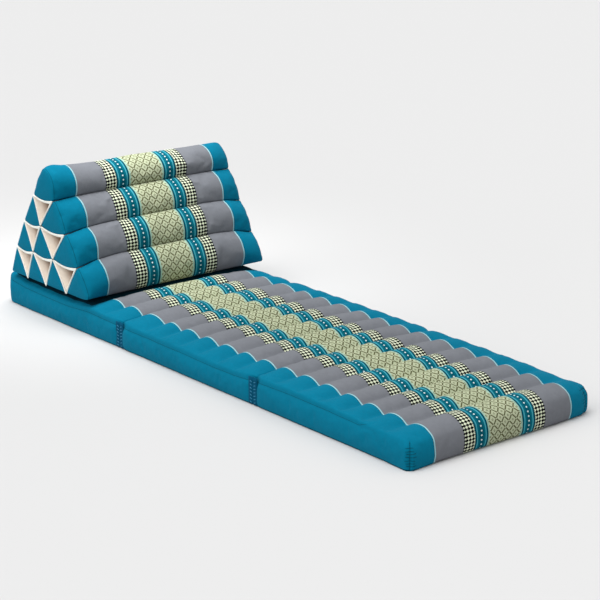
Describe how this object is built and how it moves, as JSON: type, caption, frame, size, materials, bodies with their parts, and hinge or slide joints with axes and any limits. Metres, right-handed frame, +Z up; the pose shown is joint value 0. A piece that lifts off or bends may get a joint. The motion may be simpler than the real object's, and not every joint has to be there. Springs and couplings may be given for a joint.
{
  "type": "thai triangle cushion",
  "caption": "Stuffed triangular headrest built of quilted rolls with pocketed ends, standing on the head section of a folding quilted floor mat.",
  "frame": {"origin": "on the floor under the middle of the mat", "axes": "+X along the mat from the headrest to the foot end, +Y across the mat, +Z up"},
  "size_m": [1.4406, 0.516, 0.3586],
  "materials": {
    "printed_cotton": "matt teal cotton with a printed stripe of grey, checks, dots and diamonds",
    "cream_cotton": "matt undyed cotton",
    "teal_thread": "matt cotton sewn over with dark teal thread"
  },
  "bodies": {
    "root": {"mat_head": "printed_cotton", "mat_middle": "printed_cotton", "mat_foot": "printed_cotton", "roll_top": "printed_cotton", "roll_2_rear": "printed_cotton", "roll_2_front": "printed_cotton", "roll_3_rear": "printed_cotton", "roll_3_middle": "printed_cotton", "roll_3_front": "printed_cotton", "roll_4_rear": "printed_cotton", "roll_4_mid_rear": "printed_cotton", "roll_4_mid_front": "printed_cotton", "roll_4_front": "printed_cotton", "pocket_2_1_near": "cream_cotton", "pocket_3_1_near": "cream_cotton", "pocket_3_2_near": "cream_cotton", "pocket_4_1_near": "cream_cotton", "pocket_4_2_near": "cream_cotton", "pocket_4_3_near": "cream_cotton", "pocket_2_1_far": "cream_cotton", "pocket_3_1_far": "cream_cotton", "pocket_3_2_far": "cream_cotton", "pocket_4_1_far": "cream_cotton", "pocket_4_2_far": "cream_cotton", "pocket_4_3_far": "cream_cotton", "fold_band_1_near": "teal_thread", "fold_band_1_far": "teal_thread", "fold_band_2_near": "teal_thread", "fold_band_2_far": "teal_thread"}
  },
  "joints": []
}
